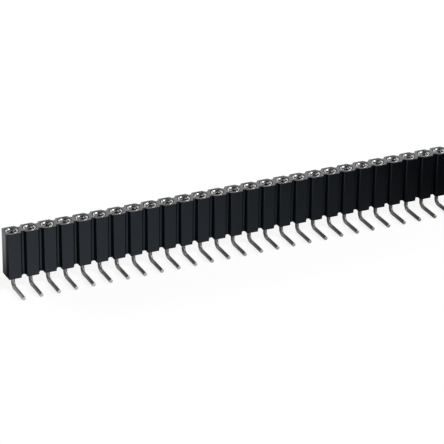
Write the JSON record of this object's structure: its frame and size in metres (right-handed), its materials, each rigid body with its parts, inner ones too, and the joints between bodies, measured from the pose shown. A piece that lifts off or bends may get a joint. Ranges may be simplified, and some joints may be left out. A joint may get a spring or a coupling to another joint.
{
  "type": "right-angle socket strip connector",
  "caption": "Single-row right-angle socket strip: black grooved moulding, turned plated sockets open at the top, round tails bent forward for a circuit board.",
  "frame": {"origin": "the first tail's axis where it crosses the board face", "axes": "+X along the row from the first contact to the last, +Z the way the sockets open, -Y the way the tails go into the board"},
  "size_m": [0.0709, 0.0055, 0.0086],
  "materials": {
    "moulding": "satin black glass-filled thermoplastic",
    "plated_contact": "dulled tin plate over turned brass",
    "spring_clip": "thin gold plate over pressed copper alloy"
  },
  "bodies": {
    "root": {"insulator": "moulding", "contact_01": "plated_contact", "contact_02": "plated_contact", "contact_03": "plated_contact", "contact_04": "plated_contact", "contact_05": "plated_contact", "contact_06": "plated_contact", "contact_07": "plated_contact", "contact_08": "plated_contact", "contact_09": "plated_contact", "contact_10": "plated_contact", "contact_11": "plated_contact", "contact_12": "plated_contact", "contact_13": "plated_contact", "contact_14": "plated_contact", "contact_15": "plated_contact", "contact_16": "plated_contact", "contact_17": "plated_contact", "contact_18": "plated_contact", "contact_19": "plated_contact", "contact_20": "plated_contact", "contact_21": "plated_contact", "contact_22": "plated_contact", "contact_23": "plated_contact", "contact_24": "plated_contact", "contact_25": "plated_contact", "contact_26": "plated_contact", "contact_27": "plated_contact", "contact_28": "plated_contact", "clip_01": "spring_clip", "clip_02": "spring_clip", "clip_03": "spring_clip", "clip_04": "spring_clip", "clip_05": "spring_clip", "clip_06": "spring_clip", "clip_07": "spring_clip", "clip_08": "spring_clip", "clip_09": "spring_clip", "clip_10": "spring_clip", "clip_11": "spring_clip", "clip_12": "spring_clip", "clip_13": "spring_clip", "clip_14": "spring_clip", "clip_15": "spring_clip", "clip_16": "spring_clip", "clip_17": "spring_clip", "clip_18": "spring_clip", "clip_19": "spring_clip", "clip_20": "spring_clip", "clip_21": "spring_clip", "clip_22": "spring_clip", "clip_23": "spring_clip", "clip_24": "spring_clip", "clip_25": "spring_clip", "clip_26": "spring_clip", "clip_27": "spring_clip", "clip_28": "spring_clip"}
  },
  "joints": []
}
